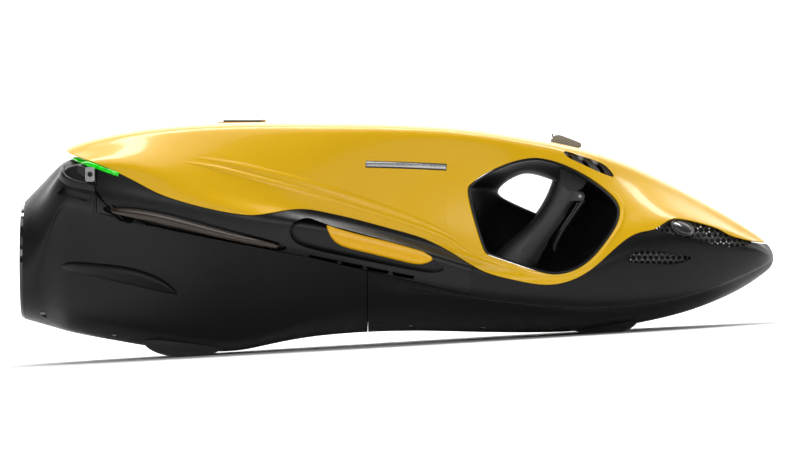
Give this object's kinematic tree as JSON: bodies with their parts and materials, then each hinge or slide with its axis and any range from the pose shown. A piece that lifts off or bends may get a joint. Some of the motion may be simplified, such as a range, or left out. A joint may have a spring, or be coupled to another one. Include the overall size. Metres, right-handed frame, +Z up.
{
  "type": "underwater scooter",
  "caption": "Hand-held underwater scooter: streamlined shell on a ducted jet drive, with side hand openings, grips, triggers, display hood and rubber feet.",
  "frame": {"origin": "middle of the bounding box, on the ground under the four feet", "axes": "+X forward to the nose, +Y to port, +Z up; the jet axis points about 3.3 degrees down ahead"},
  "size_m": [1.1561, 0.5112, 0.3576],
  "materials": {
    "battery_case": "moulded grey",
    "bearing_steel": "ground steel",
    "button_green": "satin green",
    "button_red": "satin red",
    "cable_jacket": "orange jacket",
    "controller_alloy": "anodised",
    "core_steel": "laminated steel",
    "cover_yellow": "glossy yellow paint under clear lacquer",
    "duct_black": "moulded black",
    "flap_black": "satin dark grey",
    "foot_rubber": "matt rubber",
    "frame_black": "satin black, fine texture",
    "grille_black": "satin black mesh",
    "grip_body": "satin black",
    "grip_rubber": "soft-touch rubber",
    "hood_grey": "satin grey",
    "hull_black": "satin black",
    "impeller_grey": "machined and anodised",
    "insert_yellow": "glossy yellow",
    "lamp_housing": "gloss black",
    "lens_clear": "clear lens",
    "light_green": "translucent green",
    "liner_black": "satin black, fine texture",
    "motor_alloy": "cast and anodised",
    "rail_black": "glossy black",
    "ring_gloss": "gloss black",
    "screen_glass": "glossy dark screen",
    "seal_rubber": "nitrile",
    "slat_grey": "satin dark grey",
    "socket_black": "moulded black",
    "steel": "stainless",
    "tray_plastic": "moulded grey",
    "trigger_black": "satin black"
  },
  "bodies": {
    "root": {"battery_pack": "battery_case", "bow_hull": "hull_black", "charge_socket": "socket_black", "chassis_tray": "tray_plastic", "controller_box": "controller_alloy", "display_glass": "screen_glass", "display_hood": "hood_grey", "flap_pin": "steel", "front_bearing": "bearing_steel", "front_foot_left": "foot_rubber", "front_foot_right": "foot_rubber", "gill_vent_left": "slat_grey", "gill_vent_right": "slat_grey", "grip_left": "grip_body", "grip_right": "grip_body", "grip_sleeve_left": "grip_rubber", "grip_sleeve_right": "grip_rubber", "hand_liner_left": "liner_black", "hand_liner_right": "liner_black", "hull_screws": "steel", "intake_elbow": "duct_black", "intake_grille_left": "grille_black", "intake_grille_right": "grille_black", "jet_duct": "duct_black", "lamp_cup_left": "lamp_housing", "lamp_cup_right": "lamp_housing", "lamp_lens_left": "lens_clear", "lamp_lens_right": "lens_clear", "motor_housing": "motor_alloy", "motor_stator": "core_steel", "nose_grille_left": "grille_black", "nose_grille_right": "grille_black", "nozzle_ring": "ring_gloss", "power_cable": "cable_jacket", "rear_bearing": "bearing_steel", "rear_foot_left": "foot_rubber", "rear_foot_right": "foot_rubber", "shaft_seal": "seal_rubber", "side_frame_left": "frame_black", "side_frame_right": "frame_black", "side_insert_left": "insert_yellow", "side_insert_right": "insert_yellow", "side_rail_left": "rail_black", "side_rail_right": "rail_black", "stator": "duct_black", "stern_hull": "hull_black", "tail_light_left": "light_green", "tail_light_right": "light_green", "tether_eyes": "steel", "top_cover": "cover_yellow", "trigger_pins": "steel"},
    "rotor": {"drive_shaft": "steel", "impeller": "impeller_grey", "impeller_nut": "impeller_grey", "motor_rotor": "core_steel"},
    "trigger_left": {"trigger_left": "trigger_black"},
    "trigger_right": {"trigger_right": "trigger_black"},
    "boost_button": {"boost_button": "button_green"},
    "slow_button": {"slow_button": "button_red"},
    "charge_flap": {"charge_flap": "flap_black"}
  },
  "joints": [
    {"name": "rotor_spin", "type": "hinge", "parent": "root", "child": "rotor", "pos_m": [-0.29758, 0, 0.1426], "axis": [0.9984, 0, -0.057], "continuous": true},
    {"name": "trigger_left_pull", "type": "hinge", "parent": "root", "child": "trigger_left", "pos_m": [0.28319, 0.162, 0.2096], "axis": [0, 1, 0], "range_deg": [0, 5], "stiffness_Nm_per_rad": 0.6},
    {"name": "trigger_right_pull", "type": "hinge", "parent": "root", "child": "trigger_right", "pos_m": [0.28319, -0.162, 0.2096], "axis": [0, 1, 0], "range_deg": [0, 5], "stiffness_Nm_per_rad": 0.6},
    {"name": "boost_press", "type": "slide", "parent": "root", "child": "boost_button", "axis": [0, -1, 0], "range_m": [0, 0.002], "stiffness_N_per_m": 600},
    {"name": "slow_press", "type": "slide", "parent": "root", "child": "slow_button", "axis": [0, 1, 0], "range_m": [0, 0.002], "stiffness_N_per_m": 600},
    {"name": "charge_flap_turn", "type": "hinge", "parent": "root", "child": "charge_flap", "pos_m": [-0.19045, 0, 0.35233], "axis": [0, 1, 0], "range_deg": [0, 110]}
  ]
}
